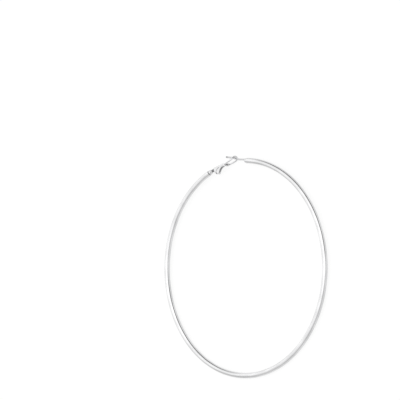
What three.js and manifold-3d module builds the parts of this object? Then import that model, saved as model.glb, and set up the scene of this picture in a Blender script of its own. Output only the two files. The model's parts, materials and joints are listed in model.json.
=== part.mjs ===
// Large plain hoop earring of polished silver-coloured metal, lying on its side.
// A hollow round tube is bent to a circle. A straight ear post is soldered to its front end.
// A folded bracket in its open back end holds a wire loop, which snaps over the post from behind the ear.
import * as THREE from "three";
import { mergeVertices } from "three/addons/utils/BufferGeometryUtils.js";
import Module from "manifold-3d";

// Driving dimensions, in millimetres and degrees. Angles run clockwise round the hoop from +Y.
const hoopOuterDiameter = 100;
const tubeDiameter = 2.5;
const tubeWall = 0.3;
const frontEndAngle = 0.6;
const backEndAngle = -27.8;

const noseLength = 1.9;
const noseRise = 0.5;
const nosePlugDepth = 1.2;
const postDiameter = 0.8;
const postTipDiameter = 0.9;

const sheetThickness = 0.3;
const bracketWidth = 1.6;
const bracketOuterRadius = 49.5;
const bracketStartAngle = -23.7;
const bracketEndAngle = -15.3;
const channelStartAngle = -23.1;
const collarDiameter = 2.1;
const collarStartAngle = -27.65;
const collarEndAngle = -26.4;
const neckDiameter = 1.3;
const tangDiameter = 1.7;
const tangAngle = 3;
const lobeRadius = 0.75;
const lobeAngle = -21.75;
const lobeDistance = 46.6;
const heelAngle = -22.8;
const heelDistance = 46.95;
const waistAngle = -18.1;
const waistDistance = 49.15;

const hingeAngle = -14.35;
const hingeDistance = 48.42;
const earRadius = 0.75;
const wireDiameter = 0.7;
const legSpread = 2.1;
const hingeClearance = 0.06;
const pieceGap = 0.1;

const leafThickness = 0.25;

const tubeSides = 12;
const wireSides = 10;
const hoopSteps = 96;
const postSteps = 28;
const loopSteps = 44;
const leafSteps = 20;
const outlineSteps = 16;

const tubeRadius = tubeDiameter / 2;
const hoopRadius = hoopOuterDiameter / 2 - tubeRadius;
const wireRadius = wireDiameter / 2;
const degree = Math.PI / 180;

// Where the post runs: distance past the nose's foot towards the gap, and rise away from the hoop's centre.
const postRoute = [
  { along: 1.3, rise: 0.45 },
  { along: 2.4, rise: 0.53 },
  { along: 4.4, rise: 0.55 },
  { along: 6.0, rise: 0.68 },
  { along: 7.5, rise: 1.0 },
  { along: 9.3, rise: 1.35 },
  { along: 12.7, rise: 1.62 },
];

// One side of the wire loop, as offsets from the hinge: across the gap, outwards, and to the side.
const loopRoute = [
  { across: 0, out: 0, side: 1.42 },
  { across: 0.8, out: 0.4, side: 1.7 },
  { across: 2.2, out: 1.1, side: legSpread },
  { across: 3.9, out: 1.95, side: legSpread },
  { across: 4.7, out: 2.75, side: 1.7 },
  { across: 5.0, out: 3.5, side: 0.9 },
];
const loopTop = { across: 5.08, out: 3.76, side: 0 };

// The spring leaf inside the bracket, from its root to its free end by the loop's feet.
const leafRoute = [
  { angle: -22.85, distance: 48.4 },
  { angle: -22.2, distance: 47.65 },
  { angle: -21.1, distance: 47.05 },
  { angle: -19.7, distance: 47.45 },
  { angle: -17.9, distance: 48.2 },
  { angle: -15.2, distance: 48.55 },
];

const wasm = await Module();
wasm.setup();

function silver(roughness) {
  return new THREE.MeshStandardMaterial({ color: 0xdcdddf, roughness, metalness: 1 });
}

// A point at an angle and distance from the hoop's centre, in the hoop's own plane.
function onHoop(angle, distance) {
  const turn = angle * degree;
  return new THREE.Vector3(distance * Math.sin(turn), distance * Math.cos(turn), 0);
}

// The tube's centreline, walked clockwise between two angles.
class HoopArc extends THREE.Curve {
  constructor(fromAngle, toAngle) {
    super();
    this.fromAngle = fromAngle;
    this.toAngle = toAngle;
  }

  getPoint(t, target = new THREE.Vector3()) {
    const angle = THREE.MathUtils.lerp(this.fromAngle, this.toAngle, t);
    return target.copy(onHoop(angle, hoopRadius));
  }
}

// The corners of a regular polygon drawn round a circle, flat side down.
function polygon(radius, sides) {
  const cornerRadius = radius / Math.cos(Math.PI / sides);
  const corners = [];
  for (let i = 0; i < sides; i += 1) {
    const turn = ((i + 0.5) / sides) * 2 * Math.PI;
    corners.push(new THREE.Vector2(cornerRadius * Math.cos(turn), cornerRadius * Math.sin(turn)));
  }
  return corners;
}

// A bar of round section that follows a path.
function roundBar(radius, sides, path, steps) {
  const section = new THREE.Shape(polygon(radius, sides));
  return new THREE.ExtrudeGeometry(section, { steps, bevelEnabled: false, extrudePath: path });
}

// A flat shape in the hoop's plane, given a width to both sides of it.
function plate(shape, width) {
  const settings = { depth: width, bevelEnabled: false, curveSegments: outlineSteps };
  return new THREE.ExtrudeGeometry(shape, settings).translate(0, 0, -width / 2);
}

// A closed geometry as a solid that can be joined and cut.
function solid(geometry) {
  const bare = geometry.clone();
  bare.deleteAttribute("normal");
  bare.deleteAttribute("uv");
  const merged = mergeVertices(bare, 1e-4);
  return new wasm.Manifold(
    new wasm.Mesh({
      numProp: 3,
      vertProperties: merged.attributes.position.array,
      triVerts: new Uint32Array(merged.index.array),
    }),
  );
}

// A joined solid as geometry with flat-shaded faces.
function geometryOf(made) {
  const { vertProperties, triVerts } = made.getMesh();
  const geometry = new THREE.BufferGeometry();
  geometry.setAttribute("position", new THREE.BufferAttribute(vertProperties, 3));
  geometry.setIndex(new THREE.BufferAttribute(triVerts, 1));
  const faceted = geometry.toNonIndexed();
  faceted.computeVertexNormals();
  return faceted;
}

function piece(name, made, roughness) {
  const mesh = new THREE.Mesh(geometryOf(made), silver(roughness));
  mesh.name = name;
  return mesh;
}

// The hollow tube, open at both of its cut ends.
function tube() {
  const section = new THREE.Shape(polygon(tubeRadius, tubeSides));
  section.holes.push(new THREE.Path(polygon(tubeRadius - tubeWall, tubeSides)));
  const path = new HoopArc(frontEndAngle, backEndAngle + 360);
  return solid(
    new THREE.ExtrudeGeometry(section, { steps: hoopSteps, bevelEnabled: false, extrudePath: path }),
  );
}

// The nose that closes the tube's front end: a plug in the bore and a rounded taper down to the post.
// The taper leans outwards, so the post leaves close to the hoop's outer side.
function nose() {
  const bore = tubeRadius - tubeWall;
  const plug = bore * 1.1;
  const shoulder = tubeRadius * 0.95;
  const profile = [
    new THREE.Vector2(0, -nosePlugDepth),
    new THREE.Vector2(plug, -nosePlugDepth),
    new THREE.Vector2(plug, -pieceGap),
    new THREE.Vector2(shoulder, -pieceGap),
    new THREE.Vector2(shoulder, pieceGap),
    new THREE.Vector2(tubeRadius * 0.82, noseLength * 0.4),
    new THREE.Vector2(tubeRadius * 0.6, noseLength * 0.75),
    new THREE.Vector2(postDiameter * 0.6, noseLength),
    new THREE.Vector2(0, noseLength),
  ];
  const turned = new THREE.LatheGeometry(profile, 2 * tubeSides);
  const { position } = turned.attributes;
  for (let i = 0; i < position.count; i += 1) {
    const reach = Math.max(position.getY(i), 0) / noseLength;
    position.setX(i, position.getX(i) + noseRise * reach);
  }
  const foot = onHoop(frontEndAngle, hoopRadius);
  turned.rotateZ((90 - frontEndAngle) * degree);
  turned.translate(foot.x, foot.y, 0);
  return solid(turned);
}

// The straight post, which steps outwards behind the loop so that it can't slip out, and its round tip.
function earPost() {
  const foot = onHoop(frontEndAngle, hoopRadius);
  const points = postRoute.map(({ along, rise }) => new THREE.Vector3(foot.x - along, foot.y + rise, 0));
  const route = new THREE.CatmullRomCurve3(points);
  const bar = solid(roundBar(postDiameter / 2, wireSides, route, postSteps));
  const tip = new THREE.SphereGeometry(postTipDiameter / 2, 12, 8);
  const end = points[points.length - 1];
  tip.translate(end.x, end.y, 0);
  return bar.add(solid(tip));
}

// The side view of the bracket: a bow along the hoop, an ear round the hinge, and a round lobe near the tube.
function bracketOutline() {
  const hinge = onHoop(hingeAngle, hingeDistance);
  const lobe = onHoop(lobeAngle, lobeDistance);
  const waist = onHoop(waistAngle, waistDistance);
  const heel = onHoop(heelAngle, heelDistance);
  const root = onHoop(bracketStartAngle, heelDistance);
  const outline = new THREE.Shape();
  const fromTurn = (90 - bracketStartAngle) * degree;
  const toTurn = (90 - bracketEndAngle) * degree;
  outline.absarc(0, 0, bracketOuterRadius, fromTurn, toTurn, true);
  outline.absarc(hinge.x, hinge.y, earRadius, 85 * degree, -100 * degree, true);
  outline.quadraticCurveTo(waist.x, waist.y, lobe.x + lobeRadius, lobe.y);
  outline.absarc(lobe.x, lobe.y, lobeRadius, 0, -190 * degree, true);
  outline.lineTo(heel.x, heel.y);
  outline.lineTo(root.x, root.y);
  outline.closePath();
  return outline;
}

// The space between the bracket's two side walls, open towards the hoop's centre and the hinge.
function channel() {
  const roof = bracketOuterRadius - sheetThickness;
  const floor = lobeDistance - 2 * lobeRadius;
  const fromTurn = (90 - channelStartAngle) * degree;
  const toTurn = (90 - hingeAngle / 2) * degree;
  const space = new THREE.Shape();
  space.absarc(0, 0, roof, fromTurn, toTurn, true);
  space.absarc(0, 0, floor, toTurn, fromTurn, false);
  space.closePath();
  return solid(plate(space, bracketWidth - 2 * sheetThickness));
}

// The hole through both side walls in which the loop's feet turn.
function hingeHole() {
  const hinge = onHoop(hingeAngle, hingeDistance);
  const radius = wireRadius / Math.cos(Math.PI / wireSides) + hingeClearance;
  const hole = plate(new THREE.Shape(polygon(radius, 2 * wireSides)), 2 * bracketWidth);
  return solid(hole.translate(hinge.x, hinge.y, 0));
}

// A round bar along the hoop's centreline between two angles.
function barOnHoop(diameter, fromAngle, toAngle, steps) {
  return solid(roundBar(diameter / 2, tubeSides, new HoopArc(fromAngle, toAngle), steps));
}

// The bracket is a folded sheet on a round stem: a neck, a collar by the tube's end, and a tang in its bore.
function hingeBracket() {
  const sheet = solid(plate(bracketOutline(), bracketWidth)).subtract(channel()).subtract(hingeHole());
  const collarMiddle = (collarStartAngle + collarEndAngle) / 2;
  const blockMiddle = (bracketStartAngle + channelStartAngle) / 2;
  const collar = barOnHoop(collarDiameter, collarStartAngle, collarEndAngle, 2);
  const neck = barOnHoop(neckDiameter, collarMiddle, blockMiddle, 3);
  const tang = barOnHoop(tangDiameter, backEndAngle - tangAngle, collarMiddle, 4);
  return sheet.add(neck).add(collar).add(tang);
}

// A flat strip that follows its route between the side walls.
function springLeaf() {
  const width = bracketWidth - 2 * sheetThickness - 2 * pieceGap;
  const section = new THREE.Shape([
    new THREE.Vector2(-width / 2, -leafThickness / 2),
    new THREE.Vector2(width / 2, -leafThickness / 2),
    new THREE.Vector2(width / 2, leafThickness / 2),
    new THREE.Vector2(-width / 2, leafThickness / 2),
  ]);
  const route = new THREE.CatmullRomCurve3(leafRoute.map(({ angle, distance }) => onHoop(angle, distance)));
  return solid(
    new THREE.ExtrudeGeometry(section, { steps: leafSteps, bevelEnabled: false, extrudePath: route }),
  );
}

// One foot of the loop: a straight stub through the bracket's wall, with a round knuckle outside it.
function loopFoot(side) {
  const [knuckleOffset] = loopRoute;
  const inner = bracketWidth / 2 - sheetThickness - pieceGap;
  const length = knuckleOffset.side - inner;
  const stub = new THREE.ExtrudeGeometry(new THREE.Shape(polygon(wireRadius, wireSides)), {
    depth: length,
    bevelEnabled: false,
  });
  stub.translate(0, 0, side > 0 ? inner : -knuckleOffset.side);
  const knuckle = new THREE.SphereGeometry(wireRadius, 12, 8);
  knuckle.translate(0, 0, side * knuckleOffset.side);
  return solid(stub).add(solid(knuckle));
}

// The wire loop, drawn about its hinge: out along one leg, over the post, and back along the other.
function latchLoop() {
  const near = loopRoute.map(({ across, out, side }) => new THREE.Vector3(across, out, -side));
  const far = loopRoute.map(({ across, out, side }) => new THREE.Vector3(across, out, side)).reverse();
  const top = new THREE.Vector3(loopTop.across, loopTop.out, loopTop.side);
  const route = new THREE.CatmullRomCurve3([...near, top, ...far]);
  const wire = solid(roundBar(wireRadius, wireSides, route, loopSteps));
  return wire.add(loopFoot(-1)).add(loopFoot(1));
}

const hoop = piece("hoop_and_ear_post", tube().add(nose()).add(earPost()), 0.12);
const bracket = piece("hinge_bracket", hingeBracket(), 0.2);
const leaf = piece("spring_leaf", springLeaf(), 0.3);
const loop = piece("latch_loop", latchLoop(), 0.15);
loop.position.copy(onHoop(hingeAngle, hingeDistance));

// On its side the hoop touches the surface with the loop's lower leg and with the far side of its tube.
const legDrop = legSpread + wireRadius - tubeRadius;
const restTilt = Math.atan2(legDrop, hoopRadius + hingeDistance);
const earring = new THREE.Group();
earring.add(hoop, bracket, leaf, loop);
earring.rotation.x = restTilt;

// The origin is under the middle of the lying earring.
const standing = new THREE.Group();
standing.add(earring);
standing.updateMatrixWorld(true);
const bounds = new THREE.Box3().setFromObject(earring, true);
const middle = bounds.getCenter(new THREE.Vector3());
earring.position.set(-middle.x, -middle.y, -bounds.min.z);

export default standing;
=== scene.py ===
import json
import math

import bmesh
import bpy
from mathutils import Matrix, Vector


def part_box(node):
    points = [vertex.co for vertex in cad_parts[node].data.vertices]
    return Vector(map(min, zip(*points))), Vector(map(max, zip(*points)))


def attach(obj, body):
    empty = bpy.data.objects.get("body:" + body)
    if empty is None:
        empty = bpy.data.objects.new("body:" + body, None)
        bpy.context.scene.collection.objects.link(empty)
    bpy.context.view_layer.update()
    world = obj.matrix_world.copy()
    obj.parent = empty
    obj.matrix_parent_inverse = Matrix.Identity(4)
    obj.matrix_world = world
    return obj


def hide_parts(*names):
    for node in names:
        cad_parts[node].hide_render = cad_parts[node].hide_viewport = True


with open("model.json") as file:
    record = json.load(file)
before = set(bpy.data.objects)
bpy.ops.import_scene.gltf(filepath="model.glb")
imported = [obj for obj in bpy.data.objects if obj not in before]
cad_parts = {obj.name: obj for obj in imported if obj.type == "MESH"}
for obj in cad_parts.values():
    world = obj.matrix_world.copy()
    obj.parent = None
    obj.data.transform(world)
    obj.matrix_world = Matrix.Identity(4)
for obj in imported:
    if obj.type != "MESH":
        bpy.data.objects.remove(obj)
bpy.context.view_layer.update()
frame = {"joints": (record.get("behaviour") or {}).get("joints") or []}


# The hoop -----------------------------------------------------------------------------------------
# A thin-walled round tube of white metal, bent to a circle and polished bright. Its back end is open
# and crimped. The front end is closed by a tapered nose with the ear post, soldered and filed smooth.

# Sizes are in millimetres, and angles in degrees clockwise round the hoop from +Y.
MM = 0.001
TUBE_RADIUS = 1.25
BORE_RADIUS = 0.95
FRONT_END = 0.6
BACK_END = 332.2
NOSE_PLUG_ANGLE = 1.4
TUBE_SIDES = 40
TUBE_STEPS = 440
BORE_STRIDE = 4
LIP_ROUNDING = 0.09
SHARP_ANGLE = 60
CRIMP_ANGLES = (330.9, 329.9, 328.9)
CRIMP_RADIUS = 0.42
CRIMP_DEPTH = 0.16
CRIMP_SWELL = 0.8
HINGE_ANGLE = -14.35
HINGE_DISTANCE = 48.42

hoop_low, hoop_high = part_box("hoop_and_ear_post")
HOOP_RADIUS = round((hoop_high.x - hoop_low.x) / MM / 2, 2) - TUBE_RADIUS


def on_hoop(angle, distance=HOOP_RADIUS, side=0.0):
    """A point by its angle, and its distances from the hoop's centre and to the hoop's side."""
    turn = math.radians(angle)
    return Vector((distance * math.sin(turn), distance * math.cos(turn), side))


# The hoop lies a little tilted on its loop's lower leg, as the hinge's axis and place in the frame say.
swing = frame["joints"][0]
lean = Matrix.Rotation(math.atan2(-swing["axis"][1], swing["axis"][2]), 4, "X")
hinge = on_hoop(HINGE_ANGLE, HINGE_DISTANCE)
hoop_centre = Vector(swing["pos_m"]) - lean @ (hinge * MM)
lie_down = Matrix.Translation(hoop_centre) @ lean @ Matrix.Scale(MM, 4)


def smooth_line(stops, steps):
    """Stops along a smooth line through the given ones, with so many steps to each stretch."""
    ends = [2 * stops[0] - stops[1], *stops, 2 * stops[-1] - stops[-2]]
    line = []
    for a, b, c, d in zip(ends, ends[1:], ends[2:], ends[3:]):
        for step in range(steps):
            t = step / steps
            bend = (2 * a - 5 * b + 4 * c - d) * t**2 + (3 * b - a - 3 * c + d) * t**3
            line.append((2 * b + (c - a) * t + bend) / 2)
    return [*line, stops[-1]]


def corners_of(parts):
    return [part for part in parts if isinstance(part, bmesh.types.BMVert)]


def open_edges(bm, other_than=()):
    return [edge for edge in bm.edges if edge.is_boundary and edge not in other_than]


def sharp_edges(bm):
    return [edge for edge in bm.edges if edge.calc_face_angle(0) > math.radians(SHARP_ANGLE)]


def extrude_ring(bm, ring, move):
    """Extrudes a ring of edges and moves the new ring. Returns its corners and its edges."""
    made = bmesh.ops.extrude_edge_only(bm, edges=ring)["geom"]
    corners = corners_of(made)
    bmesh.ops.transform(bm, matrix=move, verts=corners)
    edges = [part for part in made if isinstance(part, bmesh.types.BMEdge) and part.is_boundary]
    return corners, edges


def scaled_about(centre, factor):
    return Matrix.Translation(centre) @ Matrix.Scale(factor, 4) @ Matrix.Translation(-centre)


def round_bar(bm, stops, sides, ring=None, count=1):
    """Sweeps a round section along stops of x, y, z and radius, and returns the ring it ends in.

    Each corner keeps its place in the section and its distance along the bar, counted up or, with a
    count of -1, down. Lines in the metal follow them.
    """
    layers = bm.verts.layers.float_vector
    grain = layers.get("grain") or layers.new("grain")
    points = [stop.xyz for stop in stops]
    last = len(stops) - 1
    ways = [points[min(i + 1, last)] - points[max(i - 1, 0)] for i in range(len(stops))]
    if ring is None:
        place = Matrix.Translation(points[0]) @ ways[0].to_track_quat("Z", "Y").to_matrix().to_4x4()
        corners = bmesh.ops.create_circle(bm, segments=sides, radius=stops[0].w, matrix=place)["verts"]
        for corner in corners:
            corner[grain] = place.inverted() @ corner.co
        ring = [edge for edge in bm.edges if edge.verts[0] in corners]
    for i in range(1, len(stops)):
        turn = ways[i - 1].rotation_difference(ways[i]).to_matrix().to_4x4()
        grow = Matrix.Scale(stops[i].w / stops[i - 1].w, 4)
        move = Matrix.Translation(points[i]) @ grow @ turn @ Matrix.Translation(-points[i - 1])
        corners, ring = extrude_ring(bm, ring, move)
        step = (points[i] - points[i - 1]).length
        for corner in corners:
            corner[grain] += Vector((0, 0, count * step))
    return ring


def close_ring(bm, ring):
    """Draws a ring of edges together into one point."""
    corners = list(dict.fromkeys(corner for edge in ring for corner in edge.verts))
    middle = sum((corner.co for corner in corners), Vector()) / len(corners)
    bmesh.ops.pointmerge(bm, verts=corners, merge_co=middle)


def dome(centre, way, radius, start=0, end=86, steps=7):
    """The stops of a round end, between two angles in degrees up its side. Its pole is at 90."""
    stops = []
    for step in range(steps):
        angle = math.radians(start + (end - start) * step / (steps - 1))
        point = centre + way.normalized() * radius * math.sin(angle)
        stops.append(Vector((*point, radius * math.cos(angle))))
    return stops


def new_piece(bm, name, material):
    """Lays a drawn shape down in the frame, as a smooth-shaded object of one material."""
    bmesh.ops.transform(bm, matrix=lie_down, verts=bm.verts)
    mesh = bpy.data.meshes.new(name)
    bm.to_mesh(mesh)
    bm.free()
    mesh.shade_smooth()
    mesh.materials.append(material)
    piece = bpy.data.objects.new(name, mesh)
    bpy.context.scene.collection.objects.link(piece)
    return piece


class Signal:
    """A shader socket that Python's arithmetic works on. Each operation adds its own Math node."""

    def __init__(self, tree, socket=None):
        self.tree = tree
        self.socket = socket

    def node(self, kind, settings=(), inputs=(), output=0):
        """Adds a node: its type, its settings, then the values or links of its sockets."""
        made = self.tree.nodes.new(kind)
        for name, value in dict(settings).items():
            setattr(made, name, value)
        for name, value in dict(inputs).items():
            if isinstance(value, Signal):
                self.tree.links.new(value.socket, made.inputs[name])
            else:
                made.inputs[name].default_value = value
        return Signal(self.tree, made.outputs[output])

    def math(self, operation, first, second):
        return self.node("ShaderNodeMath", {"operation": operation}, {0: first, 1: second})

    def __add__(self, other):
        return self.math("ADD", self, other)

    def __sub__(self, other):
        return self.math("SUBTRACT", self, other)

    def __rsub__(self, other):
        return self.math("SUBTRACT", other, self)

    def __mul__(self, other):
        return self.math("MULTIPLY", self, other)

    __radd__ = __add__
    __rmul__ = __mul__

    def step(self, low, high):
        """0 below low and 1 above high, with a soft step between."""
        smooth = {"interpolation_type": "SMOOTHSTEP"}
        return self.node("ShaderNodeMapRange", smooth, {"Value": self, "From Min": low, "From Max": high})

    def feed(self, socket):
        self.tree.links.new(self.socket, socket)


def blend(factor, first, second):
    """The first colour where the factor is 0, and the second where it is 1."""
    sockets = {"Factor": factor, 6: first, 7: second}
    return factor.node("ShaderNodeMix", {"data_type": "RGBA"}, sockets, output=2)


def bar_noise(start, along, across):
    """Noise on a bar, at a scale per millimetre along the bar and another across its section."""
    place = start.node("ShaderNodeAttribute", {"attribute_name": "grain"}, output="Vector")
    stretch = {"operation": "MULTIPLY"}
    scaled = start.node("ShaderNodeVectorMath", stretch, {0: place, 1: (across, across, along)})
    return start.node("ShaderNodeTexNoise", {}, {"Vector": scaled, "Scale": 1.0, "Detail": 3.0})


# How softly a stretch of wear or of painted shade on a bar ends, in millimetres.
WEAR_AND_SHADE_EDGE = 0.5


def bright_metal(name, colour, deep, rough, lines, wave, wear_and_shade=(), metallic=1.0):
    """Polished metal: a tint that deepens in soft patches, fine lines along the bar, and a slight wave.

    Each stretch of wear or of painted shade is its start and end in millimetres along the bar, its tint and
    its blur.
    """
    material = bpy.data.materials.new(name)
    material.use_nodes = True
    shader = material.node_tree.nodes["Principled BSDF"]
    shader.inputs["Metallic"].default_value = metallic
    start = Signal(material.node_tree)
    patches = bar_noise(start, along=0.15, across=0.6).step(0.3, 0.7)
    scratches = bar_noise(start, along=0.4, across=16.0)
    ripple = bar_noise(start, along=0.3, across=0.9)
    tint = blend(patches, (*deep, 1), (*colour, 1))
    blur = rough * (0.5 + scratches)
    place = start.node("ShaderNodeAttribute", {"attribute_name": "grain"}, output="Vector")
    distance = start.node("ShaderNodeSeparateXYZ", {}, {0: place}, output="Z")
    for begin, end, wear_and_shade_tint, wear_and_shade_blur in wear_and_shade:
        within = distance.step(begin - WEAR_AND_SHADE_EDGE, begin) * (1 - distance.step(end, end + WEAR_AND_SHADE_EDGE))
        tint = blend(within, tint, (*wear_and_shade_tint, 1))
        blur = blur + (wear_and_shade_blur - blur) * within
    tint.feed(shader.inputs["Base Color"])
    blur.feed(shader.inputs["Roughness"])
    height = {"Height": ripple * wave + scratches * lines, "Strength": 1.0, "Distance": MM}
    start.node("ShaderNodeBump", {}, height).feed(shader.inputs["Normal"])
    return material


tube = bmesh.new()
walk = [FRONT_END + (BACK_END - FRONT_END) * step / TUBE_STEPS for step in range(TUBE_STEPS + 1)]
mouth = round_bar(tube, [Vector((*on_hoop(angle), TUBE_RADIUS)) for angle in walk], TUBE_SIDES)
front = open_edges(tube, other_than=mouth)

# Three punch marks on the inner side, just behind the mouth, hold the bracket's tang in the tube.
for angle in CRIMP_ANGLES:
    mark = on_hoop(angle, HOOP_RADIUS - TUBE_RADIUS)
    outwards = on_hoop(angle, 1)
    for corner in tube.verts:
        reach = (corner.co - mark).length_squared / CRIMP_RADIUS**2
        corner.co += outwards * CRIMP_DEPTH * (1 - CRIMP_SWELL * reach) * math.exp(-reach)

# The lip turns in to the bore, which runs back round to the nose's plug.
_, lip = extrude_ring(tube, mouth, scaled_about(on_hoop(BACK_END), BORE_RADIUS / TUBE_RADIUS))
bore_walk = [angle for angle in walk[::-BORE_STRIDE] if angle > FRONT_END + NOSE_PLUG_ANGLE]
bore_end = round_bar(tube, [Vector((*on_hoop(angle), BORE_RADIUS)) for angle in bore_walk], TUBE_SIDES, lip)
close_ring(tube, bore_end)

# The soldered seam at the tube's front end: millimetres past the tube, and radius.
SEAM = ((0.0, 1.25), (0.04, 1.235), (0.07, 1.205), (0.1, 1.19))
# Then the nose and the post: millimetres past the tube, rise away from the hoop's centre, and radius.
NOSE_AND_POST = (
    (0.15, 0.0, 1.19),
    (0.8, 0.14, 1.06),
    (1.4, 0.36, 0.76),
    (1.95, 0.49, 0.48),
    (2.7, 0.54, 0.4),
    (4.4, 0.55, 0.4),
    (6.0, 0.68, 0.4),
    (7.5, 1.0, 0.4),
    (9.3, 1.35, 0.4),
    (12.3, 1.6, 0.4),
)
# The post ends in a small ball, a little thicker than itself.
TIP_REACH = 0.4
TIP_RADIUS = 0.45
TIP_START = -27

nose_foot = on_hoop(FRONT_END)
post = [Vector((nose_foot.x - past, nose_foot.y + rise, 0, radius)) for past, rise, radius in NOSE_AND_POST]
seam = [Vector((nose_foot.x - past, nose_foot.y, 0, radius)) for past, radius in SEAM]
post = [*seam, *smooth_line(post, steps=6)]
post_way = (post[-1] - post[-2]).xyz
tip = dome(post[-1].xyz + post_way.normalized() * TIP_REACH, post_way, TIP_RADIUS, start=TIP_START)
close_ring(tube, round_bar(tube, [*post, *tip], TUBE_SIDES, front, count=-1))
bmesh.ops.recalc_face_normals(tube, faces=tube.faces)
bmesh.ops.bevel(
    tube, geom=sharp_edges(tube), offset=LIP_ROUNDING, segments=3, profile=0.5, affect="EDGES", material=-1
)

# The post is worn duller than the tube, and most of all at its tip, which has no polish.
POST_WEAR = [(-20.0, -11.9, (0.42, 0.42, 0.43), 0.3), (-11.6, -2.6, (0.58, 0.58, 0.59), 0.3)]
polished = bright_metal(
    "polished_silver",
    colour=(0.72, 0.72, 0.725),
    deep=(0.62, 0.62, 0.625),
    rough=0.15,
    lines=0.0004,
    wave=0.006,
    wear_and_shade=POST_WEAR,
)
hoop = new_piece(tube, "hoop_with_ear_post", polished)
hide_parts("hoop_and_ear_post")
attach(hoop, "hoop")


# The bracket's stem -------------------------------------------------------------------------------
# A turned stub of the same metal: a tang that goes into the tube, a collar that stops at its mouth,
# and a neck that flares where it is soldered to the folded sheet.

STEM_SIDES = 32
# Angle round the hoop, and radius.
STEM = (
    (-30.7, 0.7),
    (-30.6, 0.82),
    (-30.4, 0.85),
    (-27.75, 0.85),
    (-27.7, 0.9),
    (-27.66, 0.99),
    (-27.58, 1.05),
    (-26.52, 1.05),
    (-26.42, 1.02),
    (-26.38, 0.95),
    (-26.34, 0.72),
    (-26.2, 0.65),
    (-24.1, 0.65),
    (-23.8, 0.68),
    (-23.65, 0.78),
    (-23.5, 0.9),
)
stem_shape = bmesh.new()
stem_stops = [Vector((*on_hoop(angle), radius)) for angle, radius in STEM]
stem_end = round_bar(stem_shape, stem_stops, STEM_SIDES)
close_ring(stem_shape, open_edges(stem_shape, other_than=stem_end))
close_ring(stem_shape, stem_end)
bmesh.ops.recalc_face_normals(stem_shape, faces=stem_shape.faces)

# The neck is painted dark, as painted shade in the hollow between the collar and the flare.
NECK_SHADE = [(4.55, 6.5, (0.2, 0.2, 0.205), 0.45)]
turned = bright_metal(
    "turned_silver_shaded_neck",
    colour=(0.74, 0.74, 0.745),
    deep=(0.66, 0.66, 0.665),
    rough=0.14,
    lines=0.0006,
    wave=0.004,
    wear_and_shade=NECK_SHADE,
)
stem = new_piece(stem_shape, "bracket_stem", turned)
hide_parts("hinge_bracket")
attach(stem, "hoop")


# The bracket's sheet ------------------------------------------------------------------------------
# One piece of thin sheet folded over to a channel: a cover, two side walls and an end wall. Each wall
# is stamped with a round lobe towards the tube and an ear for the loop's foot, then tumbled bright.

SHEET = 0.3
SHEET_WIDTH = 1.6
SHEET_OUTER_RADIUS = 49.5
SHEET_START = -23.7
SHEET_END = -15.3
COVER_STEPS = 24
FOLD_RADIUS = 0.32
EDGE_ROUNDING = 0.05
EAR_RADIUS = 0.75
EAR_START = 85
EAR_TURN = 185
EAR_STEPS = 18
HOLE_RADIUS = 0.428
HOLE_SIDES = 28
LOBE_RADIUS = 0.75
LOBE_START = 0
LOBE_TURN = 190
LOBE_STEPS = 22
WAIST_STEPS = 10
half_width = SHEET_WIDTH / 2
lobe = on_hoop(-21.75, 46.6)
waist = on_hoop(-18.1, 49.15)
heel = on_hoop(-22.8, 46.95)
root = on_hoop(SHEET_START, 46.95)


def arc(bm, start, centre, angle, steps):
    """Spins one point clockwise about a centre, and returns the points of that arc."""
    first = bm.verts.new(start)
    before = len(bm.verts)
    bmesh.ops.spin(bm, geom=[first], cent=centre, axis=(0, 0, -1), angle=math.radians(angle), steps=steps)
    return [first, *list(bm.verts)[before:]]


def polar(centre, degrees, radius):
    turn = math.radians(degrees)
    return centre + Vector((math.cos(turn), math.sin(turn), 0)) * radius


# One wall's outline: the cover's edge, the ear, the waist, the lobe, the heel and the root.
sheet = bmesh.new()
cover_start = on_hoop(SHEET_START, SHEET_OUTER_RADIUS)
cover_line = arc(sheet, cover_start, (0, 0, 0), SHEET_END - SHEET_START, COVER_STEPS)
ear_line = arc(sheet, polar(hinge, EAR_START, EAR_RADIUS), hinge, EAR_TURN, EAR_STEPS)
lobe_line = arc(sheet, polar(lobe, LOBE_START, LOBE_RADIUS), lobe, LOBE_TURN, LOBE_STEPS)
waist_line = []
for step in range(1, WAIST_STEPS):
    t = step / WAIST_STEPS
    point = ear_line[-1].co * (1 - t) ** 2 + 2 * waist * t * (1 - t) + lobe_line[0].co * t**2
    waist_line.append(sheet.verts.new(point))
heel_corner = sheet.verts.new(heel)
root_corner = sheet.verts.new(root)
outline = [*cover_line, *ear_line, *waist_line, *lobe_line, heel_corner, root_corner]
for corner, following in zip(outline, [*outline[1:], outline[0]]):
    if not sheet.edges.get((corner, following)):
        sheet.edges.new((corner, following))
outline_points = [corner.co.copy() for corner in [*outline, outline[0]]]

# That wall with the hinge's hole in it, the same wall again, and the strip that joins them.
bmesh.ops.create_circle(sheet, segments=HOLE_SIDES, radius=HOLE_RADIUS, matrix=Matrix.Translation(hinge))
bmesh.ops.triangle_fill(sheet, edges=sheet.edges[:], use_beauty=True, use_dissolve=True)
bmesh.ops.translate(sheet, verts=sheet.verts, vec=(0, 0, half_width))
folded = [sheet.edges.get(pair) for pair in zip(cover_line, cover_line[1:])]
folded.append(sheet.edges.get((cover_line[0], root_corner)))
other_wall = bmesh.ops.duplicate(sheet, geom=[*sheet.verts, *sheet.edges, *sheet.faces])["geom"]
bmesh.ops.translate(sheet, verts=corners_of(other_wall), vec=(0, 0, -SHEET_WIDTH))
joining = bmesh.ops.extrude_edge_only(sheet, edges=folded)["geom"]
bmesh.ops.translate(sheet, verts=corners_of(joining), vec=(0, 0, -SHEET_WIDTH))
bmesh.ops.remove_doubles(sheet, verts=sheet.verts, dist=0.001)
bmesh.ops.recalc_face_normals(sheet, faces=sheet.faces)


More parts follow.
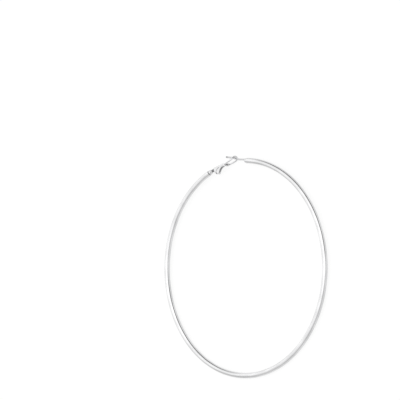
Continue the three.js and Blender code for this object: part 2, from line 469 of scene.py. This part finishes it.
def round_edges(bm, offset, segments):
    """Rounds each sharp edge."""
    bmesh.ops.bevel(
        bm, geom=sharp_edges(bm), offset=offset, segments=segments, profile=0.5, affect="EDGES",
        material=-1, clamp_overlap=True,
    )


round_edges(sheet, FOLD_RADIUS, 5)
if sum(face.normal.z * face.calc_center_median().z for face in sheet.faces) < 0:
    bmesh.ops.reverse_faces(sheet, faces=sheet.faces)
bmesh.ops.solidify(sheet, geom=sheet.faces[:], thickness=SHEET)
round_edges(sheet, EDGE_ROUNDING, 2)

# The faces inside the channel have the second material, which is painted light: the same silver made whiter
# and duller so that the shaded inside shows bright.
INSIDE_SLACK = 0.02
for face in sheet.faces:
    middle = face.calc_center_median()
    between_walls = abs(middle.z) < half_width - SHEET + INSIDE_SLACK
    under_cover = middle.xy.length < SHEET_OUTER_RADIUS - SHEET + INSIDE_SLACK
    if between_walls and under_cover:
        face.material_index = 1

# The stamping leaves each side wall crowned: it rises from its outline to a flat middle. A crease that
# ends in a dimple sets the lobe off. Fine cells give the walls the corners for this.
CELL = 0.13
WALL_SLACK = 0.01
CROWN_WIDTH = 0.45
CROWN_RISE = 0.15
EAR_FADE = 0.9
# Angle round the hoop, and distance from its centre.
CREASE = ((-19.6, 48.45), (-20.75, 48.2), (-21.8, 47.7), (-22.35, 47.1), (-22.4, 46.6))
CREASE_DEPTH = 0.1
CREASE_RADIUS = 0.15
CREASE_SHADE = 0.7
DIMPLE_DEPTH = 0.2
DIMPLE_RADIUS = 0.28
DIMPLE_SHADE = 1.3
dimple = on_hoop(-22.25, 46.4)
crease = smooth_line([on_hoop(angle, distance) for angle, distance in CREASE], steps=4)


def distance_to_line(point, line):
    """The distance in the hoop's plane from a point to a line of points."""
    nearest = math.inf
    for start, end in zip(line, line[1:]):
        stretch = (end - start).xy
        share = (point - start).xy.dot(stretch) / stretch.length_squared
        nearest = min(nearest, ((point - start).xy - stretch * min(max(share, 0), 1)).length)
    return nearest


first_cut = Vector([min(point[axis] for point in outline_points) for axis in range(3)])
last_cut = Vector([max(point[axis] for point in outline_points) for axis in range(3)])
for axis in (0, 1):
    across = Vector((0, 0, 0))
    across[axis] = 1
    for cut in range(1, int((last_cut[axis] - first_cut[axis]) / CELL) + 1):
        place = first_cut + across * CELL * cut
        everything = [*sheet.verts, *sheet.edges, *sheet.faces]
        bmesh.ops.bisect_plane(sheet, geom=everything, plane_co=place, plane_no=across, dist=1e-5)
# How much painted shade darkens each corner, most in the crease and the dimple.
recess_shade = sheet.verts.layers.float.new("recess_shade")
for corner in sheet.verts:
    if abs(corner.co.z) > half_width - SHEET - WALL_SLACK:
        rise = 1 - (1 - min(distance_to_line(corner.co, outline_points) / CROWN_WIDTH, 1)) ** 2
        off_ear = min(max(((corner.co - hinge).xy.length - EAR_RADIUS) / EAR_FADE, 0), 1)
        dip = math.exp(-((distance_to_line(corner.co, crease) / CREASE_RADIUS) ** 2))
        pit = math.exp(-(((corner.co - dimple).xy.length / DIMPLE_RADIUS) ** 2))
        lift = CROWN_RISE * rise * off_ear - CREASE_DEPTH * dip - DIMPLE_DEPTH * pit
        corner.co.z += math.copysign(lift, corner.co.z)
        corner[recess_shade] = min(CREASE_SHADE * dip + DIMPLE_SHADE * pit, 1)


def lay_grain_round_hoop(bm):
    """Gives each corner its place across the hoop's tube and its distance along the hoop."""
    grain = bm.verts.layers.float_vector.new("grain")
    for corner in bm.verts:
        turn = math.atan2(corner.co.x, corner.co.y)
        corner[grain] = (corner.co.z, corner.co.xy.length - HOOP_RADIUS, turn * HOOP_RADIUS)


lay_grain_round_hoop(sheet)
tumbled = bright_metal(
    "tumbled_silver_recess_shade",
    colour=(0.74, 0.74, 0.745),
    deep=(0.62, 0.62, 0.625),
    rough=0.3,
    lines=0.0006,
    wave=0.008,
)
# Painted light: the inside of the channel is the same metal, made whiter, rougher and less metallic so that
# it looks lit.
inside_painted_light = bright_metal(
    "inside_silver_painted_light",
    colour=(0.93, 0.93, 0.93),
    deep=(0.88, 0.88, 0.88),
    rough=0.5,
    lines=0.0006,
    wave=0.002,
    metallic=0.2,
)

# The crease and the dimple are darkened in the colour: painted shade in the stamp's hollows.
RECESS_SHADE_COLOUR = (0.07, 0.07, 0.075, 1)
tumbled_colour = tumbled.node_tree.nodes["Principled BSDF"].inputs["Base Color"]
unshaded_colour = Signal(tumbled.node_tree, tumbled_colour.links[0].from_socket)
in_painted_shade = unshaded_colour.node("ShaderNodeAttribute", {"attribute_name": "recess_shade"}, output="Fac")
blend(in_painted_shade, unshaded_colour, RECESS_SHADE_COLOUR).feed(tumbled_colour)

bracket = new_piece(sheet, "bracket_sheet", tumbled)
bracket.data.materials.append(inside_painted_light)
bracket.modifiers.new("even_shading", "WEIGHTED_NORMAL")
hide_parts("hinge_bracket")
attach(bracket, "hoop")


# The spring leaf ----------------------------------------------------------------------------------
# A strip of rolled spring steel between the bracket's walls. It is trapped at the root and presses
# against the loop's feet, so that the loop snaps open and shut.

LEAF_THICKNESS = 0.25
LEAF_WIDTH = 0.8
# Angle round the hoop, and distance from its centre.
LEAF = ((-22.85, 48.4), (-22.2, 47.65), (-21.1, 47.05), (-19.7, 47.45), (-17.9, 48.2), (-15.2, 48.55))

strip = bmesh.new()
leaf_stops = [on_hoop(angle, distance, LEAF_WIDTH / 2) for angle, distance in LEAF]
leaf_line = smooth_line(leaf_stops, steps=8)
leaf_edge = [strip.verts.new(point) for point in leaf_line]
spine = [strip.edges.new(pair) for pair in zip(leaf_edge, leaf_edge[1:])]
widened = bmesh.ops.extrude_edge_only(strip, edges=spine)["geom"]
bmesh.ops.translate(strip, verts=corners_of(widened), vec=(0, 0, -LEAF_WIDTH))
bmesh.ops.recalc_face_normals(strip, faces=strip.faces)
bmesh.ops.solidify(strip, geom=strip.faces[:], thickness=LEAF_THICKNESS)
bmesh.ops.recalc_face_normals(strip, faces=strip.faces)
round_edges(strip, EDGE_ROUNDING, 2)
lay_grain_round_hoop(strip)
# The leaf's dark colour is partly the spring steel's own darker tone and partly painted shade of the channel
# between the walls.
rolled = bright_metal(
    "rolled_spring_steel_painted_shade",
    colour=(0.3, 0.3, 0.305),
    deep=(0.22, 0.22, 0.225),
    rough=0.35,
    lines=0.002,
    wave=0.002,
)
leaf = new_piece(strip, "rolled_spring_leaf", rolled)
leaf.modifiers.new("even_shading", "WEIGHTED_NORMAL")
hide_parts("spring_leaf")
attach(leaf, "hoop")


# The latch loop -----------------------------------------------------------------------------------
# One length of drawn wire bent to a saddle-shaped loop. Its two feet turn in the ears' holes, and its
# arch snaps down over the ear post.

WIRE_RADIUS = 0.35
WIRE_SIDES = 28
FOOT_END = 0.5
# One half, from a foot to the arch: across the gap, outwards, and to the side of the hinge.
HALF_LOOP = (
    (0, 0, FOOT_END),
    (0, 0, 1.0),
    (0.08, 0.04, 1.34),
    (0.27, 0.135, 1.52),
    (0.8, 0.4, 1.72),
    (2.2, 1.1, 2.1),
    (3.9, 1.95, 2.1),
    (4.7, 2.75, 1.7),
    (5.0, 3.5, 0.9),
    (5.08, 3.76, 0),
)
wire = bmesh.new()
near_half = [Vector((hinge.x + across, hinge.y + out, side, WIRE_RADIUS)) for across, out, side in HALF_LOOP]
far_half = [Vector((stop.x, stop.y, -stop.z, stop.w)) for stop in near_half[-2::-1]]
sideways = Vector((0, 0, 1))
near_end = dome(hinge + sideways * FOOT_END, -sideways, WIRE_RADIUS)[::-1]
far_end = dome(hinge - sideways * FOOT_END, sideways, WIRE_RADIUS)
wire_stops = [*near_end[:-1], *smooth_line([*near_half, *far_half], steps=8), *far_end[1:]]
wire_length = sum((b.xyz - a.xyz).length for a, b in zip(wire_stops, wire_stops[1:]))
wire_end = round_bar(wire, wire_stops, WIRE_SIDES)
close_ring(wire, open_edges(wire, other_than=wire_end))
close_ring(wire, wire_end)
bmesh.ops.recalc_face_normals(wire, faces=wire.faces)

# The feet are painted dark, as painted shade where they sit between the ears.
FOOT_LENGTH = 1.35
FOOT_SHADE = (0.15, 0.15, 0.155)
FOOT_SHADE_BLUR = 0.5
SHADED_FEET = [
    (-1.0, FOOT_LENGTH, FOOT_SHADE, FOOT_SHADE_BLUR),
    (wire_length - FOOT_LENGTH, wire_length + 1.0, FOOT_SHADE, FOOT_SHADE_BLUR),
]
drawn = bright_metal(
    "drawn_silver_wire_shaded_feet",
    colour=(0.66, 0.66, 0.67),
    deep=(0.56, 0.56, 0.57),
    rough=0.2,
    lines=0.0008,
    wave=0.003,
    wear_and_shade=SHADED_FEET,
)
latch = new_piece(wire, "latch_wire_loop", drawn)
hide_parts("latch_loop")
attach(latch, "latch")


# The floor ----------------------------------------------------------------------------------------
# A plain pale floor of milky acrylic, like a light table's top. It is lit softly from below, so the
# earring's shadow on it almost disappears.

FLOOR_RADIUS = 4.0
floor_shape = bmesh.new()
bmesh.ops.create_circle(floor_shape, cap_ends=True, segments=96, radius=FLOOR_RADIUS)
floor_mesh = bpy.data.meshes.new("floor")
floor_shape.to_mesh(floor_mesh)
floor_shape.free()
floor = bpy.data.objects.new("floor", floor_mesh)
bpy.context.scene.collection.objects.link(floor)
pale = bpy.data.materials.new("pale_floor")
pale.use_nodes = True
pale_shader = pale.node_tree.nodes["Principled BSDF"]
pale_shader.inputs["Base Color"].default_value = (0.16, 0.16, 0.16, 1)
pale_shader.inputs["Emission Color"].default_value = (1, 1, 1, 1)
pale_shader.inputs["Emission Strength"].default_value = 0.84
pale_shader.inputs["Roughness"].default_value = 0.9
pale_shader.inputs["Specular IOR Level"].default_value = 0.0
floor_mesh.materials.append(pale)


# The light ----------------------------------------------------------------------------------------
# An even white light tent round the earring, brightest at the key light above. Two soft grey cards
# stand low at its sides, and the polished metal shows them as its darker lines.

TENT = 1.32
KEY = 0.3
KEY_WAY = (0.35, 0.25, 0.9)
KEY_EDGE = (0.7, 0.95)
world = bpy.data.worlds.new("light_tent")
world.use_nodes = True
bpy.context.scene.world = world
sky = Signal(world.node_tree)
way = sky.node("ShaderNodeTexCoord", output="Generated")


def card(azimuth, half_span, side_blur, top, top_blur, grey):
    """How much a grey card hides of the tent.

    Its middle is so many degrees round from +X, each side so many from its middle, and its top edge
    so many up. The sides and the top are blurred by so many degrees each way.
    """
    facing = Vector((math.cos(math.radians(azimuth)), math.sin(math.radians(azimuth)), 0))
    flat = sky.node("ShaderNodeVectorMath", {"operation": "MULTIPLY"}, {0: way, 1: (1, 1, 0)})
    level = sky.node("ShaderNodeVectorMath", {"operation": "NORMALIZE"}, {0: flat})
    dot = {"operation": "DOT_PRODUCT"}
    toward = sky.node("ShaderNodeVectorMath", dot, {0: level, 1: facing}, output="Value")
    height = sky.node("ShaderNodeSeparateXYZ", {}, {0: way}, output="Z")
    side_edge = [math.cos(math.radians(half_span + blur)) for blur in (side_blur, -side_blur)]
    top_edge = [math.sin(math.radians(top + blur)) for blur in (-top_blur, top_blur)]
    return grey * toward.step(*side_edge) * (1 - height.step(*top_edge))


front_card = card(azimuth=-85, half_span=80, side_blur=15, top=60, top_blur=30, grey=0.42)
back_card = card(azimuth=65, half_span=58, side_blur=18, top=30, top_blur=16, grey=0.9)
toward_key = sky.node(
    "ShaderNodeVectorMath", {"operation": "DOT_PRODUCT"}, {0: way, 1: KEY_WAY}, output="Value"
)
light = TENT * (1 - front_card) * (1 - back_card) + KEY * toward_key.step(*KEY_EDGE)
background = world.node_tree.nodes["Background"]
background.inputs["Color"].default_value = (1, 1, 1, 1)
light.feed(background.inputs["Strength"])
bpy.context.scene.view_settings.view_transform = "Standard"


# The camera ---------------------------------------------------------------------------------------
# It looks down at the hoop from the side, from far off, so that the hoop shows as an even oval.

VIEW_ANGLE = 42.8
ROLL = 0.54
DISTANCE = 4000.0
SENSOR = 36.0
FRAME_WIDTH = 181.4
# The frame's middle is this far to the left of the hoop's centre, and this far above it.
AIM_LEFT = 20.571
AIM_UP = 30.892

back = Vector((math.sin(math.radians(VIEW_ANGLE)), 0, math.cos(math.radians(VIEW_ANGLE))))
up = Matrix.Rotation(math.radians(ROLL), 3, back) @ Vector((0, 1, 0))
right = up.cross(back)
eye = back * DISTANCE
aim = up * AIM_UP - right * AIM_LEFT
gaze = (eye - aim).normalized()
beside = up.cross(gaze).normalized()
facing_aim = Matrix((beside, gaze.cross(beside), gaze)).transposed().to_4x4()
lens = bpy.data.cameras.new("camera")
lens.sensor_width = SENSOR
lens.lens = SENSOR * DISTANCE / FRAME_WIDTH
lens.clip_end = 20
camera = bpy.data.objects.new("camera", lens)
bpy.context.scene.collection.objects.link(camera)
camera.matrix_world = Matrix.Translation(hoop_centre + lean.to_3x3() @ eye * MM) @ lean @ facing_aim
bpy.context.scene.camera = camera
